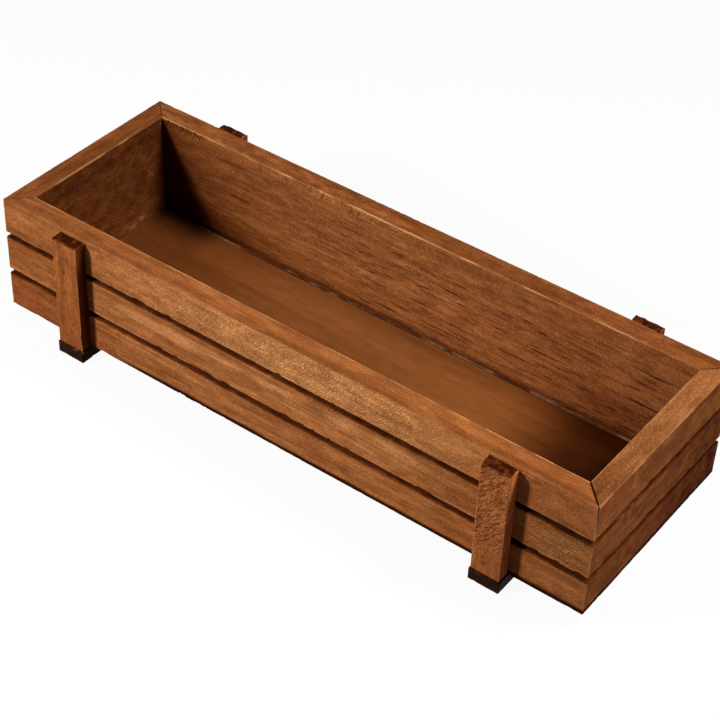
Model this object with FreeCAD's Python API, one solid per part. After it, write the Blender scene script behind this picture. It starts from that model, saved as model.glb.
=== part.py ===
import FreeCAD, Part
import math
import os

# Window box planter: a long trough of mitred boards on two cross runners.
# Millimetres. X runs along the box, the front wall faces -Y, Z is up.
# The origin is the middle of the footprint, on the surface that the runners stand on.

# ---------------------------------------------------------------- box
BOX_LENGTH = 600.0          # over the two end walls
BOX_DEPTH = 203.0           # over the front and back walls
WALL_THICKNESS = 20.0
FACE_HEIGHT = 34.5          # outer face of one board
SHADOW_GAP = 5.0            # height of the open groove between two faces
SHADOW_DEPTH = 7.0          # how far that groove goes into the wall
ARRIS = 0.6                 # flat on each eased edge of the boards

# tongue and groove that joins a board to the one above it
TONGUE_THICKNESS = 4.0
TONGUE_HEIGHT = 5.0
TONGUE_SIDE_FIT = 0.1       # on each side of the tongue
TONGUE_END_FIT = 0.5        # above the tongue, so that the shoulders close

# ---------------------------------------------------------------- floor
FLOOR_THICKNESS = 9.0
FLOOR_REBATE = 10.0         # how far the floor is let into each wall
FLOOR_FIT = 0.3             # room for the floor to swell, on each edge
BEAD_LEG = 2.5              # sealant fillet between floor and walls

# ---------------------------------------------------------------- corners
SPLINE_WIDTH = 8.0          # across the mitre
SPLINE_THICKNESS = 3.0
SPLINE_FIT = 0.1            # on each side of the spline
SPLINE_COVER = 8.0          # solid wood left above and below the spline

# ---------------------------------------------------------------- battens and runners
BATTEN_WIDTH = 27.0
BATTEN_THICKNESS = 12.0
BATTEN_INSET = 82.0         # end of the box to the middle of a batten
BATTEN_DROP = 2.0           # top of the batten below the rim
BATTEN_BEVEL = 1.5          # worn front edge of the batten's top
BATTEN_ARRIS = 0.8
RUNNER_HEIGHT = 12.0
RUNNER_OVERHANG = 1.0       # runner past the batten, on all three sides
RUNNER_ARRIS = 1.0

# ---------------------------------------------------------------- nails
NAIL_DIAMETER = 1.6
NAIL_BITE = 13.0            # into the board behind
NAIL_HEAD_DIAMETER = 2.6
NAIL_HEAD_HEIGHT = 0.8
NAIL_POINT = 1.6            # length of the tapered point
NAIL_SET = 0.5              # head below the surface
NAIL_FIT = 0.05             # round the nail
NAIL_STAGGER = 3.0          # batten nails to either side of the middle line
FLOOR_NAIL_INSET = 45.0     # outside of the box to the first floor nail
LONG_WALL_NAIL_COUNT = 4    # through the floor into the front wall, and into the back one
END_WALL_NAIL_COUNT = 2     # through the floor into each end wall

# ---------------------------------------------------------------- screws
SCREW_DIAMETER = 3.5
SCREW_HEAD_DIAMETER = 7.0
SCREW_POINT = 4.0
SCREW_FIT = 0.1             # round the screw
SCREW_SLOT_WIDTH = 0.9
SCREW_SLOT_DEPTH = 1.0
BATTEN_SCREW_BITE = 13.0    # into the batten's end
FLOOR_SCREW_BITE = 6.0      # into the floor
FLOOR_SCREW_INSET = 40.0    # outer face of the wall to the screw

# ---------------------------------------------------------------- worked out
LEVELS = ("bottom", "middle", "top")
BOARD_PITCH = FACE_HEIGHT + SHADOW_GAP
WALL_HEIGHT = len(LEVELS) * BOARD_PITCH - SHADOW_GAP
BASE = RUNNER_HEIGHT                        # underside of walls, floor and battens
RIM = BASE + WALL_HEIGHT
FLOOR_TOP = BASE + FLOOR_THICKNESS
NECK_MIDDLE = (SHADOW_DEPTH + WALL_THICKNESS) / 2     # depth of tongue and spline in the wall
BATTEN_X = BOX_LENGTH / 2 - BATTEN_INSET
BATTEN_FACE = BOX_DEPTH / 2 + BATTEN_THICKNESS        # front of a batten, from the middle
RUNNER_WIDTH = BATTEN_WIDTH + 2 * RUNNER_OVERHANG
RUNNER_LENGTH = 2 * (BATTEN_FACE + RUNNER_OVERHANG)
FLOOR_NAIL_DEPTH = WALL_THICKNESS - FLOOR_REBATE / 2  # middle of the floor's bearing
BATTEN_NAIL_LENGTH = BATTEN_THICKNESS - NAIL_SET + NAIL_BITE
FLOOR_NAIL_LENGTH = FLOOR_THICKNESS - NAIL_SET + NAIL_BITE
BATTEN_SCREW_LENGTH = RUNNER_HEIGHT + BATTEN_SCREW_BITE
FLOOR_SCREW_LENGTH = RUNNER_HEIGHT + FLOOR_SCREW_BITE
BATTEN_SCREW_Y = BOX_DEPTH / 2 + BATTEN_THICKNESS / 2
FLOOR_SCREW_Y = BOX_DEPTH / 2 - FLOOR_SCREW_INSET
MARGIN = 1.0                                # cutting tools reach this far past the wood
TOUCH = 1e-3                                # two edges this close are in line

# Each wall is drawn as the front wall and turned about Z: turn, run along its outer
# face, distance of that face from the middle of the box, floor nails.
WALLS = {
    "front": (0.0, BOX_LENGTH, BOX_DEPTH / 2, LONG_WALL_NAIL_COUNT),
    "right": (90.0, BOX_DEPTH, BOX_LENGTH / 2, END_WALL_NAIL_COUNT),
    "back": (180.0, BOX_LENGTH, BOX_DEPTH / 2, LONG_WALL_NAIL_COUNT),
    "left": (270.0, BOX_DEPTH, BOX_LENGTH / 2, END_WALL_NAIL_COUNT),
}
SIDES = {"left": -1, "right": 1}
FACES = {"front": 0.0, "back": 180.0}
UP = FreeCAD.Vector(0, 0, 1)
INWARD = FreeCAD.Vector(0, 1, 0)            # from the front face into the box


# ---------------------------------------------------------------- helpers
def vector(x, y, z):
    return FreeCAD.Vector(x, y, z)


def turned(shape, degrees):
    """A copy of the shape, turned about the middle of the box."""
    copy = shape.copy()
    copy.rotate(vector(0, 0, 0), UP, degrees)
    return copy


def aimed(shape, place, direction):
    """A copy of a fastener drawn along +Z from the origin, put at a place and aimed."""
    copy = shape.copy()
    copy.Placement = FreeCAD.Placement(place, FreeCAD.Rotation(UP, direction))
    return copy


def polygon_face(points):
    return Part.Face(Part.makePolygon(points + [points[0]]))


def centred_box(width, depth, low, high):
    """Upright box about the Z axis, between two heights."""
    corner = vector(-width / 2, -depth / 2, low)
    return Part.makeBox(width, depth, high - low, corner)


def mitred_run(section, run, face_distance, reach):
    """Bar along X with 45 degree ends. The section is drawn in the YZ plane with y as the
    depth from the outer face; run is the length at that face."""
    bar = section.copy()
    bar.translate(vector(-run / 2, -face_distance, 0))
    bar = bar.extrude(vector(run, 0, 0))
    low = bar.BoundBox.ZMin - MARGIN
    high = bar.BoundBox.ZMax + MARGIN
    outer, inner = run / 2, run / 2 - reach
    plan = polygon_face([
        vector(-outer, -face_distance, low),
        vector(outer, -face_distance, low),
        vector(inner, -face_distance + reach, low),
        vector(-inner, -face_distance + reach, low),
    ])
    return bar.common(plan.extrude(vector(0, 0, high - low)))


# ---------------------------------------------------------------- fasteners
def nail(length, fit=0.0):
    """Small-headed nail along +Z, its head's outer face at the origin. With a fit it is
    the hole for that nail, open to the surface."""
    radius = NAIL_DIAMETER / 2 + fit
    head = NAIL_HEAD_DIAMETER / 2 + fit
    start = -(NAIL_SET + MARGIN) if fit else 0.0
    half = [
        vector(0, 0, start),
        vector(head, 0, start),
        vector(head, 0, NAIL_HEAD_HEIGHT + fit),
        vector(radius, 0, NAIL_HEAD_HEIGHT + fit),
        vector(radius, 0, length - NAIL_POINT + fit),
        vector(0, 0, length + fit),
    ]
    return polygon_face(half).revolve(vector(0, 0, 0), UP, 360)


def screw(length, fit=0.0):
    """Countersunk screw along +Z, its head's flat at the origin. With a fit it is the hole
    for that screw, open to the surface."""
    radius = SCREW_DIAMETER / 2 + fit
    head = SCREW_HEAD_DIAMETER / 2 + fit
    start = -MARGIN if fit else 0.0
    half = [
        vector(0, 0, start),
        vector(head, 0, start),
        vector(head, 0, 0),
        vector(radius, 0, head - radius),
        vector(radius, 0, length - SCREW_POINT + fit),
        vector(0, 0, length + fit),
    ]
    body = polygon_face(half).revolve(vector(0, 0, 0), UP, 360)
    if fit:
        return body
    slot = centred_box(SCREW_HEAD_DIAMETER, SCREW_SLOT_WIDTH, -MARGIN, SCREW_SLOT_DEPTH)
    return body.cut(slot)


def batten_nail_places():
    """One nail through each batten into each board, staggered about the middle line."""
    places = []
    for turn in FACES.values():
        for side in SIDES.values():
            for level in range(len(LEVELS)):
                x = side * (BATTEN_X - NAIL_STAGGER * (-1) ** level)
                height = BASE + level * BOARD_PITCH + FACE_HEIGHT / 2
                places.append((turn, vector(x, -BATTEN_FACE + NAIL_SET, height)))
    return places


def floor_nail_places():
    """Floor nails along each wall, up through the floor's bearing."""
    places = []
    for turn, run, distance, count in WALLS.values():
        span = run - 2 * FLOOR_NAIL_INSET
        for index in range(count):
            x = -span / 2 + span * index / (count - 1)
            places.append((turn, vector(x, -distance + FLOOR_NAIL_DEPTH, BASE + NAIL_SET)))
    return places


def runner_screw_places(y):
    """Screws up through the two runners, at one distance from the middle of the box."""
    return [
        (turn, vector(side * BATTEN_X, -y, 0))
        for turn in FACES.values() for side in SIDES.values()
    ]


def fastened(shape, places, direction):
    """Copies of one fastener at each place; a place is drawn at the front and turned."""
    return [turned(aimed(shape, place, direction), turn) for turn, place in places]


def fastener_rows():
    """Each kind of fastener: how it is drawn, its length, its places and its direction."""
    return {
        "batten_nails": (nail, BATTEN_NAIL_LENGTH, batten_nail_places(), INWARD),
        "floor_nails": (nail, FLOOR_NAIL_LENGTH, floor_nail_places(), UP),
        "batten_screws": (screw, BATTEN_SCREW_LENGTH, runner_screw_places(BATTEN_SCREW_Y), UP),
        "floor_screws": (screw, FLOOR_SCREW_LENGTH, runner_screw_places(FLOOR_SCREW_Y), UP),
    }


def fastener_groups():
    groups = {}
    for name, (draw, length, places, direction) in fastener_rows().items():
        groups[name] = Part.makeCompound(fastened(draw(length), places, direction))
    return groups


def fastener_holes():
    fits = {nail: NAIL_FIT, screw: SCREW_FIT}
    holes = []
    for draw, length, places, direction in fastener_rows().values():
        holes += fastened(draw(length, fits[draw]), places, direction)
    return holes


# ---------------------------------------------------------------- corner splines
def corner_spline(fit=0.0):
    """Loose tongue in the front left mitre; with a fit it is the slot for it."""
    low = FLOOR_TOP + SPLINE_COVER - fit
    high = RIM - SPLINE_COVER + fit
    spline = centred_box(SPLINE_WIDTH + 2 * fit, SPLINE_THICKNESS + 2 * fit, low, high)
    spline.rotate(vector(0, 0, 0), UP, -45)
    spline.translate(vector(-BOX_LENGTH / 2 + NECK_MIDDLE, -BOX_DEPTH / 2 + NECK_MIDDLE, 0))
    return spline


def at_corners(shape):
    """The front left corner's shape, mirrored to the four corners."""
    across_x = shape.mirror(vector(0, 0, 0), vector(1, 0, 0))
    across_y = vector(0, 1, 0)
    return {
        "front_left": shape,
        "front_right": across_x,
        "back_left": shape.mirror(vector(0, 0, 0), across_y),
        "back_right": across_x.mirror(vector(0, 0, 0), across_y),
    }


# ---------------------------------------------------------------- wall boards
def board_section(level):
    """Outline of one wall board, as depth from the outer face and height."""
    low = BASE + level * BOARD_PITCH
    face_top = low + FACE_HEIGHT
    is_top = level == len(LEVELS) - 1
    outline = [(ARRIS, low), (0, low + ARRIS), (0, face_top - ARRIS), (ARRIS, face_top)]
    if is_top:
        outline += [(WALL_THICKNESS - ARRIS, face_top), (WALL_THICKNESS, face_top - ARRIS)]
    else:
        shoulder = low + BOARD_PITCH
        tongue_near = NECK_MIDDLE - TONGUE_THICKNESS / 2
        tongue_far = NECK_MIDDLE + TONGUE_THICKNESS / 2
        outline += [
            (SHADOW_DEPTH, face_top),
            (SHADOW_DEPTH, shoulder),
            (tongue_near, shoulder),
            (tongue_near, shoulder + TONGUE_HEIGHT),
            (tongue_far, shoulder + TONGUE_HEIGHT),
            (tongue_far, shoulder),
            (WALL_THICKNESS, shoulder),
        ]
    if level == 0:
        ledge = WALL_THICKNESS - FLOOR_REBATE
        outline += [(WALL_THICKNESS, FLOOR_TOP), (ledge, FLOOR_TOP), (ledge, low)]
    else:
        groove = TONGUE_THICKNESS / 2 + TONGUE_SIDE_FIT
        groove_top = low + TONGUE_HEIGHT + TONGUE_END_FIT
        outline += [
            (WALL_THICKNESS, low),
            (NECK_MIDDLE + groove, low),
            (NECK_MIDDLE + groove, groove_top),
            (NECK_MIDDLE - groove, groove_top),
            (NECK_MIDDLE - groove, low),
        ]
    return polygon_face([vector(0, depth, height) for depth, height in outline])


def wall_boards(cutters):
    boards = {}
    for wall, (turn, run, distance, _) in WALLS.items():
        for level, name in enumerate(LEVELS):
            board = mitred_run(board_section(level), run, distance, WALL_THICKNESS)
            boards[wall + "_board_" + name] = turned(board, turn).cut(cutters)
    return boards


# ---------------------------------------------------------------- floor
def floor_board(cutters):
    inset = 2 * (WALL_THICKNESS - FLOOR_REBATE + FLOOR_FIT)
    board = centred_box(BOX_LENGTH - inset, BOX_DEPTH - inset, BASE, FLOOR_TOP)
    return board.cut(cutters)


def sealant_bead():
    """Hollow fillet of sealant all round the floor, against the inner faces."""
    foot = vector(0, BEAD_LEG, FLOOR_TOP)
    head = vector(0, 0, FLOOR_TOP + BEAD_LEG)
    corner = vector(0, 0, FLOOR_TOP)
    sag = BEAD_LEG * (1 - math.sqrt(0.5))
    hollow = Part.Arc(foot, vector(0, sag, FLOOR_TOP + sag), head).toShape()
    outline = [Part.makeLine(corner, foot), hollow, Part.makeLine(head, corner)]
    section = Part.Face(Part.Wire(outline))
    sides = []
    for turn, run, distance, _ in WALLS.values():
        run_inside = run - 2 * WALL_THICKNESS
        side = mitred_run(section, run_inside, distance - WALL_THICKNESS, BEAD_LEG)
        sides.append(turned(side, turn))
    return sides[0].fuse(sides[1:]).removeSplitter()


# ---------------------------------------------------------------- battens and runners
def batten():
    """Front left batten: it stands on the runner's end, against the boards' faces."""
    front, top = -BATTEN_FACE, RIM - BATTEN_DROP
    side_view = polygon_face([
        vector(0, front, BASE),
        vector(0, -BOX_DEPTH / 2, BASE),
        vector(0, -BOX_DEPTH / 2, top),
        vector(0, front + BATTEN_BEVEL, top),
        vector(0, front, top - BATTEN_BEVEL),
    ])
    side_view.translate(vector(-BATTEN_X - BATTEN_WIDTH / 2, 0, 0))
    block = side_view.extrude(vector(BATTEN_WIDTH, 0, 0))
    upright = [
        edge for edge in block.Edges
        if edge.BoundBox.YMax < front + TOUCH and edge.BoundBox.XLength < TOUCH
    ]
    return block.makeChamfer(BATTEN_ARRIS, upright)


def runner():
    """Left runner, under the battens, the two walls and the floor."""
    bar = centred_box(RUNNER_WIDTH, RUNNER_LENGTH, 0, RUNNER_HEIGHT)
    lower = [edge for edge in bar.Edges if edge.BoundBox.ZMax < TOUCH]
    bar = bar.makeChamfer(RUNNER_ARRIS, lower)
    bar.translate(vector(-BATTEN_X, 0, 0))
    return bar


# ---------------------------------------------------------------- the whole planter
def planter():
    slots = Part.makeCompound(list(at_corners(corner_spline(SPLINE_FIT)).values()))
    holes = Part.makeCompound(fastener_holes())
    pieces = wall_boards([slots, holes])
    pieces["floor_board"] = floor_board(holes)
    pieces["floor_sealant"] = sealant_bead()
    for name, shape in at_corners(batten()).items():
        pieces["batten_" + name] = shape.cut(holes)
    for side, sign in SIDES.items():
        shape = runner() if sign < 0 else turned(runner(), 180)
        pieces["runner_" + side] = shape.cut(holes)
    for name, shape in at_corners(corner_spline()).items():
        pieces["corner_spline_" + name] = shape
    pieces.update(fastener_groups())
    return pieces


os.makedirs("parts", exist_ok=True)
for node, shape in planter().items():
    shape.exportStep(os.path.join("parts", node + ".step"))
    print(node, len(shape.Solids), "solid(s),", round(shape.Volume), "mm3, valid", shape.isValid())
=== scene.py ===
import math
from itertools import product

import bpy
import numpy as np
from mathutils import Matrix, Vector


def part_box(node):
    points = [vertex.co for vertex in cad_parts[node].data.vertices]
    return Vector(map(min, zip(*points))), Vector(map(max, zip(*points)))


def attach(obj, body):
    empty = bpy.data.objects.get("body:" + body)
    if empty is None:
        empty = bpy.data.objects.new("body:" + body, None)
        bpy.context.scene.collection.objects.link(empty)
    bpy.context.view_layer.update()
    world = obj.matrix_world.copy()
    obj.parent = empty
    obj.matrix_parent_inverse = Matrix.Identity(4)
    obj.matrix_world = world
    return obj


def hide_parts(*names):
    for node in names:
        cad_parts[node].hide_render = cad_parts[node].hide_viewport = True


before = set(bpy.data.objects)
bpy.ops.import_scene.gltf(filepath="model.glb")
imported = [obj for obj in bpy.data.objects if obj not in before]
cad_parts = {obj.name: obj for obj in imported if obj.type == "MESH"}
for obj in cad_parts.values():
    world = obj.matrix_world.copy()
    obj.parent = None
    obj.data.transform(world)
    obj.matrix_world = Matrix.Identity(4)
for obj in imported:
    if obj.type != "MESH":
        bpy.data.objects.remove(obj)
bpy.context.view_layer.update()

# The looks of a window box planter. Meshes are worked out in millimetres and stored in
# metres, in the frame's own axes: X along the box, the front wall faces -Y, Z is up.
# Every worn or torn place is cut into the planed wood, so nothing outgrows the frame.

MM = 0.001


def node_box(node):
    """Lowest and highest corner of a node, in millimetres."""
    low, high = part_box(node)
    return np.array(low) / MM, np.array(high) / MM


# ---- sizes, in millimetres
LEVELS = ("bottom", "middle", "top")
TOP_LEVEL = len(LEVELS) - 1
WALL_TURNS = {"front": 0, "right": 90, "back": 180, "left": 270}
SIDES = {"left": -1, "right": 1}
ENDS = {"front": -1, "back": 1}

BOX_LOW, BOX_HIGH = node_box("front_board_top")
HALF_LENGTH = BOX_HIGH[0]
HALF_DEPTH = -BOX_LOW[1]
RIM = BOX_HIGH[2]
BASES = [node_box("front_board_" + level)[0][2] for level in LEVELS]
BASE = BASES[0]
FACE_HEIGHT = RIM - BASES[-1]
FLOOR_TOP = node_box("floor_board")[1][2]

THICKNESS = 20.0  # of every board
SHADOW_DEPTH = 7.0  # of the open groove between two faces
TONGUE_NEAR = 11.5  # tongue's sides, from the outer face
TONGUE_FAR = 15.5
TONGUE_HEIGHT = 5.0
TONGUE_FIT = 0.1
TONGUE_END_FIT = 0.5
FLOOR_REBATE = 10.0

BOARD_STEP = 1.5  # between rings of vertices along a board
END_REACH = 4.0  # of the closer rings at a board's ends
END_RINGS = (0, 0.25, 0.5, 0.8, 1.2, 1.8, 2.6)
FACE_STEP = 1.35  # between vertices up a board's outer face
RIM_STEP = 1.3
INNER_STEP = 1.6
GROOVE_STEP = 1.4
HIDDEN_STEP = 6.0
EDGE_RADIUS = 0.5  # worn arris
ROUNDING_POINTS = 4  # round a worn arris
EDGE_REACH = 2.4  # how far in from an arris its wear and chips reach
SHARP_ANGLE = 48  # degrees; steeper edges are shaded sharp


# ---- numbers
def smooth(value, low, high):
    """0 below low and 1 above high, with a soft change between them."""
    t = np.clip((value - low) / (high - low), 0, 1)
    return t * t * (3 - 2 * t)


def hump(value, middle, reach):
    """1 at the middle, falling off to 0 over about the reach."""
    return np.exp(-(((value - middle) / reach) ** 2))


def lattice_value(cells, seed):
    """A repeatable number from -1 to 1 for each whole-numbered cell."""
    x, y, z = (cells[..., i].astype(np.uint64) for i in range(3))
    mixed = x * 374761393 + y * 668265263 + z * 2246822519 + seed * 3266489917
    mixed = (mixed ^ (mixed >> np.uint64(13))) & np.uint64(0xFFFFFFFF)
    mixed = (mixed * 1274126177) & np.uint64(0xFFFFFFFF)
    mixed ^= mixed >> np.uint64(16)
    return mixed.astype(float) / 2**31 - 1


LATTICE_SHIFT = 4096  # keeps the cells' numbers above zero


def noise(along, across, deep, seed):
    """Smooth noise from -1 to 1, in spots of about one unit of the three inputs."""
    places = np.stack(np.broadcast_arrays(along, across, deep), -1)
    cells = np.floor(places).astype(np.int64)
    part = places - cells
    fade = part * part * (3 - 2 * part)
    cells = cells + LATTICE_SHIFT
    total = np.zeros(places.shape[:-1])
    for corner in product((0, 1), repeat=3):
        weight = np.prod(np.where(corner, fade, 1 - fade), axis=-1)
        total += weight * lattice_value(cells + corner, seed)
    return total


def unit_noise(along, across, deep, seed):
    """Smooth noise from 0 to 1."""
    return noise(along, across, deep, seed) * 0.5 + 0.5


# ---- meshes
def turned(points, degrees):
    """Points turned about Z."""
    angle = math.radians(degrees)
    cos, sin = math.cos(angle), math.sin(angle)
    x, y, z = np.moveaxis(points, -1, 0)
    return np.stack([cos * x - sin * y, sin * x + cos * y, z], -1)


def run_and_distance(turn, inset=0.0):
    """Half of a wall's length and its distance from the middle, both less the inset."""
    reach = HALF_LENGTH - inset, HALF_DEPTH - inset
    return reach if turn % 180 == 0 else reach[::-1]


def wood_looks(grain, look, rough):
    """The vectors that a wood material reads at each vertex, each from its three parts."""
    parts = np.broadcast_arrays(*grain, *look, *rough)
    vectors = np.stack(parts, -1).reshape(-1, 3, 3)
    return {"grain": vectors[:, 0], "look": vectors[:, 1], "rough": vectors[:, 2]}


def add_object(name, data):
    thing = bpy.data.objects.new(name, data)
    bpy.context.scene.collection.objects.link(thing)
    return thing


def add_piece(name, nodes, slot, points, faces, looks):
    """Makes a piece from points in millimetres and enters it in the frame. looks holds its
    material's vectors by name."""
    mesh = bpy.data.meshes.new(name)
    mesh.from_pydata((points * MM).tolist(), [], faces)
    for key, values in looks.items():
        vectors = mesh.attributes.new(key, "FLOAT_VECTOR", "POINT")
        vectors.data.foreach_set("vector", values.astype(np.float32).ravel())
    mesh.polygons.foreach_set("use_smooth", np.ones(len(mesh.polygons), bool))
    mesh.set_sharp_from_angle(angle=math.radians(SHARP_ANGLE))
    mesh.materials.append(MATERIALS[slot])
    mesh.update()
    piece = add_object(name, mesh)
    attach(piece, "root")
    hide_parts(*nodes)


def tube_faces(rings, around):
    """Quads between rings of vertices, with both ends closed."""
    here = np.arange(rings * around).reshape(rings, around)
    ahead = np.roll(here, -1, axis=1)
    quads = np.stack([here[:-1], here[1:], ahead[1:], ahead[:-1]], -1).reshape(-1, 4)
    return quads.tolist() + [here[0].tolist(), here[-1][::-1].tolist()]


# ---- camera and lamps
CAMERA_PLACE = (728.5, -1015.0, 1094.5)
CAMERA_AZIMUTH = 35.25
CAMERA_ELEVATION = 40.19
CAMERA_ROLL = 2.6
CAMERA_LENS = 96.07
CAMERA_SENSOR = 36.0
CAMERA_NEAR_CLIP = 0.01  # metres

# Square lamps by name: place, target and size in millimetres, and power in watts.
LAMPS = {
    "key": ((-800, -1221, 950), (0, -60, 70), 240, 31),
    "right": ((720, 240, 1000), (20, 0, 40), 260, 12),
}
LAMP_COLOUR = (1.0, 0.97, 0.93)


def make_camera():
    camera = add_object("camera", bpy.data.cameras.new("camera"))
    matrix = Matrix.Translation(Vector(CAMERA_PLACE) * MM)
    turns = (CAMERA_AZIMUTH, "Z"), (90 - CAMERA_ELEVATION, "X"), (CAMERA_ROLL, "Z")
    for degrees, axis in turns:
        matrix = matrix @ Matrix.Rotation(math.radians(degrees), 4, axis)
    camera.matrix_world = matrix
    camera.data.lens = CAMERA_LENS
    camera.data.sensor_width = CAMERA_SENSOR
    camera.data.clip_start = CAMERA_NEAR_CLIP
    bpy.context.scene.camera = camera


def make_lamps():
    for name, (place, target, size, power) in LAMPS.items():
        data = bpy.data.lights.new(name, "AREA")
        data.shape = "SQUARE"
        data.size = size * MM
        data.energy = power
        data.color = LAMP_COLOUR
        lamp = add_object(name, data)
        lamp.location = Vector(place) * MM
        direction = Vector(target) - Vector(place)
        lamp.rotation_euler = direction.to_track_quat("-Z", "Y").to_euler()


# ---- nodes
# The Mix node has several sockets of one name; these are for colours.
MIX_SHARE, MIX_FIRST, MIX_SECOND, MIX_RESULT = 0, 6, 7, 2


class Nodes:
    """Short names for building the nodes of one material or world."""

    def __init__(self, owner):
        owner.use_nodes = True
        self.owner = owner
        self.tree = owner.node_tree
        self.surface = self.tree.nodes.get("Principled BSDF")

    def node(self, kind, inputs=None, **settings):
        """A new node; inputs are numbers, colours or other nodes' outputs."""
        node = self.tree.nodes.new("ShaderNode" + kind)
        for key, value in settings.items():
            setattr(node, key, value)
        for key, value in (inputs or {}).items():
            self.feed(node.inputs[key], value)
        return node

    def feed(self, socket, value):
        if isinstance(value, bpy.types.NodeSocket):
            self.tree.links.new(value, socket)
        else:
            socket.default_value = value

    def set(self, name, value):
        """Sets or links one of the surface's own sockets."""
        self.feed(self.surface.inputs[name], value)

    def attribute(self, name):
        return self.node("Attribute", attribute_name=name).outputs["Vector"]

    def split(self, vector):
        parts = self.node("SeparateXYZ", {"Vector": vector})
        return parts.outputs["X"], parts.outputs["Y"], parts.outputs["Z"]

    def math(self, operation, first, *others):
        """All the values joined by one operation, from the first on."""
        for other in others:
            node = self.node("Math", operation=operation)
            self.feed(node.inputs[0], first)
            self.feed(node.inputs[1], other)
            first = node.outputs[0]
        return first

    def product(self, *values):
        return self.math("MULTIPLY", *values)

    def stretched(self, vector, scale):
        return self.node("Mapping", {"Vector": vector, "Scale": scale}).outputs["Vector"]

    def spun(self, vector, degrees):
        """The place turned, so that what is stretched along its first axis runs slantwise
        over every face."""
        turn = tuple(math.radians(angle) for angle in degrees)
        return self.node("Mapping", {"Vector": vector, "Rotation": turn}).outputs["Vector"]

    def noise(self, vector, detail=3.0, roughness=0.5, distortion=0.0):
        inputs = {
            "Vector": vector, "Scale": 1.0, "Detail": detail,
            "Roughness": roughness, "Distortion": distortion,
        }
        return self.node("TexNoise", inputs).outputs["Fac"]

    def range(self, value, low, high, to_low=0.0, to_high=1.0):
        inputs = {
            "Value": value, "From Min": low, "From Max": high,
            "To Min": to_low, "To Max": to_high,
        }
        return self.node("MapRange", inputs, interpolation_type="SMOOTHSTEP").outputs["Result"]

    def mix(self, share, first, second, blend="MIX"):
        inputs = {MIX_SHARE: share, MIX_FIRST: first, MIX_SECOND: second}
        node = self.node("Mix", inputs, data_type="RGBA", blend_type=blend)
        return node.outputs[MIX_RESULT]

    def bump(self, height, strength, depth):
        """Relief of the surface; depth is in millimetres."""
        inputs = {"Strength": strength, "Distance": depth * MM, "Height": height}
        self.set("Normal", self.node("Bump", inputs).outputs["Normal"])

    def show(self, output, lighting, seen):
        """Ends the tree in two shaders: one for light that reaches the object, and one for
        rays from the camera, mirror-like rays and rays through glass."""
        path = self.node("LightPath").outputs
        direct = self.math(
            "MAXIMUM", path["Is Camera Ray"], path["Is Glossy Ray"], path["Is Transmission Ray"])
        choice = self.node("MixShader", {0: direct, 1: lighting, 2: seen})
        self.feed(self.tree.nodes[output].inputs["Surface"], choice.outputs[0])


def colour(red, green, blue):
    return (red, green, blue, 1.0)


# ---- wood materials
GREEN_POWER = 1.22  # darker stain is redder
BLUE_POWER = 1.45
DEEP_SHARES = (0.32, 0.2, 0.15)  # of the dark colour's parts, in cracks and pits
FIBRE_TURNS = ((20, -52, 35), (-25, 44, -30))
SAW_TURN = (0, -38, 25)

# Each stain is light, dark, red, pale and rubbed off.
BROWN_STAIN = (
    (0.46, 0.152, 0.041), (0.21, 0.056, 0.0135), (0.27, 0.043, 0.009),
    (0.59, 0.262, 0.093), (0.76, 0.38, 0.155),
)
FLOOR_STAIN = (
    (0.34, 0.122, 0.033), (0.27, 0.092, 0.024), (0.25, 0.066, 0.015),
    (0.34, 0.122, 0.033), (0.76, 0.38, 0.155),
)
BLACK_STAIN = (
    (0.03, 0.011, 0.005), (0.009, 0.0035, 0.002), (0.04, 0.01, 0.005),
    (0.03, 0.011, 0.005), (0.3, 0.12, 0.07),
)


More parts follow.
